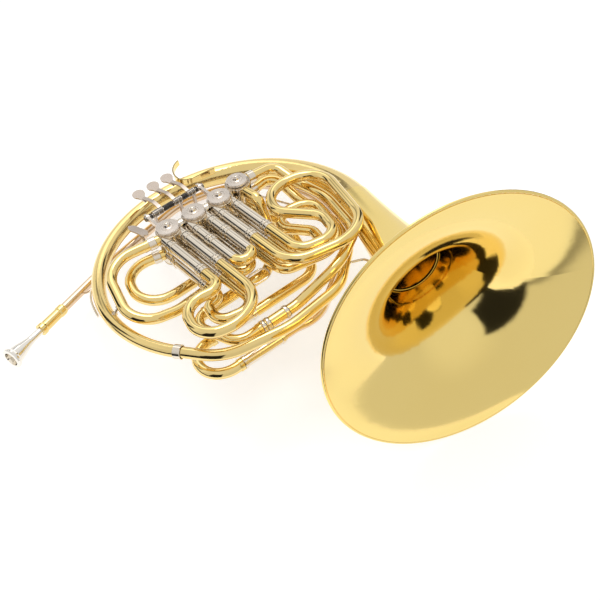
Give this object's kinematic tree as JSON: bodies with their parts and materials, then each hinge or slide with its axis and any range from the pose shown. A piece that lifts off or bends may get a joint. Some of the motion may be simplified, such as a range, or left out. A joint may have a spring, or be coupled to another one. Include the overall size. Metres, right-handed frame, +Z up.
{
  "type": "french horn",
  "caption": "Double horn with rotary valves: a wide flared bell, a tapering coil, crooked slides, spatula levers and a funnel mouthpiece.",
  "frame": {"origin": "centre of the box round the whole horn, on its underside: the table it lies on", "axes": "+Z up from the table; +X from the coil towards the bell's mouth, which also faces up by the tilt; +Y away from the mouthpiece"},
  "size_m": [0.4762, 0.5986, 0.3017],
  "materials": {
    "lacquered_brass": "polished under clear lacquer",
    "nickel_silver": "bright, lacquered",
    "silver_plate": "mirror silver plate",
    "rose_brass": "polished under clear lacquer",
    "spring_steel": "oiled"
  },
  "bodies": {
    "horn": {"bell_flare": "lacquered_brass", "bell_rim_wire": "lacquered_brass", "bell_tail": "lacquered_brass", "bell_branch": "lacquered_brass", "branch_ferrule": "nickel_silver", "first_branch": "lacquered_brass", "leadpipe": "rose_brass", "mouthpiece_receiver": "lacquered_brass", "valve_casing_1": "nickel_silver", "valve_casing_2": "nickel_silver", "valve_casing_3": "nickel_silver", "valve_casing_4": "nickel_silver", "valve_caps": "nickel_silver", "knuckles_f": "nickel_silver", "knuckles_b_flat": "nickel_silver", "f_sleeves_1": "nickel_silver", "b_flat_sleeves_1": "nickel_silver", "f_sleeves_2": "nickel_silver", "b_flat_sleeves_2": "nickel_silver", "f_sleeves_3": "nickel_silver", "b_flat_sleeves_3": "nickel_silver", "outer_loop": "lacquered_brass", "inner_loop": "lacquered_brass", "main_sleeves": "nickel_silver", "main_feed": "lacquered_brass", "second_sleeves": "nickel_silver", "second_feed": "lacquered_brass", "hinge_rod": "nickel_silver", "hinge_brackets": "nickel_silver", "lever_springs": "spring_steel", "pinky_hook": "lacquered_brass", "coil_braces": "nickel_silver", "port_ferrules": "nickel_silver"},
    "mouthpiece": {"mouthpiece": "silver_plate"},
    "f_slide_1": {"f_slide_1": "lacquered_brass"},
    "f_slide_2": {"f_slide_2": "nickel_silver"},
    "f_slide_3": {"f_slide_3": "lacquered_brass"},
    "b_flat_slide_1": {"b_flat_slide_1": "lacquered_brass"},
    "b_flat_slide_2": {"b_flat_slide_2": "nickel_silver", "pull_ring": "nickel_silver"},
    "b_flat_slide_3": {"b_flat_slide_3": "lacquered_brass"},
    "main_tuning_slide": {"main_slide": "lacquered_brass"},
    "second_tuning_slide": {"second_slide": "lacquered_brass"},
    "finger_lever_1": {"finger_lever_1": "nickel_silver"},
    "finger_lever_2": {"finger_lever_2": "nickel_silver"},
    "finger_lever_3": {"finger_lever_3": "nickel_silver"},
    "thumb_lever": {"thumb_lever": "nickel_silver"},
    "rotor_1": {"rotor_1": "nickel_silver", "stop_arm_1": "nickel_silver"},
    "link_1": {"link_1": "nickel_silver"},
    "rotor_2": {"rotor_2": "nickel_silver", "stop_arm_2": "nickel_silver"},
    "link_2": {"link_2": "nickel_silver"},
    "rotor_3": {"rotor_3": "nickel_silver", "stop_arm_3": "nickel_silver"},
    "link_3": {"link_3": "nickel_silver"},
    "rotor_4": {"rotor_4": "nickel_silver", "stop_arm_4": "nickel_silver"},
    "link_4": {"link_4": "nickel_silver"}
  },
  "joints": [
    {"name": "mouthpiece_pull", "type": "slide", "parent": "horn", "child": "mouthpiece", "axis": [0.5092, -0.8453, 0.1615], "range_m": [0, 0.016]},
    {"name": "f_slide_1_pull", "type": "slide", "parent": "horn", "child": "f_slide_1", "axis": [0.9269, 0.2334, 0.294], "range_m": [0, 0.03]},
    {"name": "f_slide_2_pull", "type": "slide", "parent": "horn", "child": "f_slide_2", "axis": [0.9269, 0.2334, 0.294], "range_m": [0, 0.02]},
    {"name": "f_slide_3_pull", "type": "slide", "parent": "horn", "child": "f_slide_3", "axis": [0.9269, 0.2334, 0.294], "range_m": [0, 0.022]},
    {"name": "b_flat_slide_1_pull", "type": "slide", "parent": "horn", "child": "b_flat_slide_1", "axis": [0.9269, 0.2334, 0.294], "range_m": [0, 0.02]},
    {"name": "b_flat_slide_2_pull", "type": "slide", "parent": "horn", "child": "b_flat_slide_2", "axis": [0.9269, 0.2334, 0.294], "range_m": [0, 0.02]},
    {"name": "b_flat_slide_3_pull", "type": "slide", "parent": "horn", "child": "b_flat_slide_3", "axis": [0.9269, 0.2334, 0.294], "range_m": [0, 0.006]},
    {"name": "main_tuning_pull", "type": "slide", "parent": "horn", "child": "main_tuning_slide", "axis": [0.2225, -0.9724, 0.0706], "range_m": [0, 0.025]},
    {"name": "second_tuning_pull", "type": "slide", "parent": "horn", "child": "second_tuning_slide", "axis": [0.2225, -0.9724, 0.0706], "range_m": [0, 0.02]},
    {"name": "finger_lever_1_press", "type": "hinge", "parent": "horn", "child": "finger_lever_1", "pos_m": [-0.14539, -0.06756, 0.07416], "axis": [0.2225, -0.9724, 0.0706], "range_deg": [0, 16.5], "stiffness_Nm_per_rad": 0.08, "springref_deg": -28.65},
    {"name": "finger_lever_2_press", "type": "hinge", "parent": "horn", "child": "finger_lever_2", "pos_m": [-0.14996, -0.04763, 0.07271], "axis": [0.2225, -0.9724, 0.0706], "range_deg": [0, 16.5], "stiffness_Nm_per_rad": 0.08, "springref_deg": -28.65},
    {"name": "finger_lever_3_press", "type": "hinge", "parent": "horn", "child": "finger_lever_3", "pos_m": [-0.1544, -0.02818, 0.0713], "axis": [0.2225, -0.9724, 0.0706], "range_deg": [0, 16.5], "stiffness_Nm_per_rad": 0.08, "springref_deg": -28.65},
    {"name": "thumb_lever_press", "type": "hinge", "parent": "horn", "child": "thumb_lever", "pos_m": [-0.11467, -0.08016, 0.05873], "axis": [0.2225, -0.9724, 0.0706], "range_deg": [0, 22.8], "stiffness_Nm_per_rad": 0.08, "springref_deg": -28.65},
    {"name": "rotor_1_turn", "type": "hinge", "parent": "horn", "child": "rotor_1", "pos_m": [-0.08843, -0.07386, 0.06285], "axis": [-0.3024, 0, 0.9532], "range_deg": [-90.01, 0]},
    {"name": "link_1_push", "type": "slide", "parent": "horn", "child": "link_1", "axis": [0.9269, 0.2334, 0.294], "range_m": [0, 0.01416]},
    {"name": "rotor_2_turn", "type": "hinge", "parent": "horn", "child": "rotor_2", "pos_m": [-0.09653, -0.03847, 0.06028], "axis": [-0.3024, 0, 0.9532], "range_deg": [-90.01, 0]},
    {"name": "link_2_push", "type": "slide", "parent": "horn", "child": "link_2", "axis": [0.9269, 0.2334, 0.294], "range_m": [0, 0.01416]},
    {"name": "rotor_3_turn", "type": "hinge", "parent": "horn", "child": "rotor_3", "pos_m": [-0.10463, -0.00307, 0.05772], "axis": [-0.3024, 0, 0.9532], "range_deg": [0, 90.01]},
    {"name": "link_3_push", "type": "slide", "parent": "horn", "child": "link_3", "axis": [0.9269, 0.2334, 0.294], "range_m": [0, 0.01416]},
    {"name": "rotor_4_turn", "type": "hinge", "parent": "horn", "child": "rotor_4", "pos_m": [-0.11954, 0.02608, 0.05299], "axis": [-0.3024, 0, 0.9532], "range_deg": [-90.01, 0]},
    {"name": "link_4_push", "type": "slide", "parent": "horn", "child": "link_4", "axis": [0.9269, 0.2334, 0.294], "range_m": [0, 0.00992]}
  ],
  "couplings": [
    {"joint": "rotor_1_turn", "follows": "finger_lever_1_press", "ratio": -5.4545},
    {"joint": "link_1_push", "follows": "finger_lever_1_press", "m_per_rad": 0.049108},
    {"joint": "rotor_2_turn", "follows": "finger_lever_2_press", "ratio": -5.4545},
    {"joint": "link_2_push", "follows": "finger_lever_2_press", "m_per_rad": 0.049108},
    {"joint": "rotor_3_turn", "follows": "finger_lever_3_press", "ratio": 5.4545},
    {"joint": "link_3_push", "follows": "finger_lever_3_press", "m_per_rad": 0.049108},
    {"joint": "rotor_4_turn", "follows": "thumb_lever_press", "ratio": -3.9474},
    {"joint": "link_4_push", "follows": "thumb_lever_press", "m_per_rad": 0.024877}
  ]
}
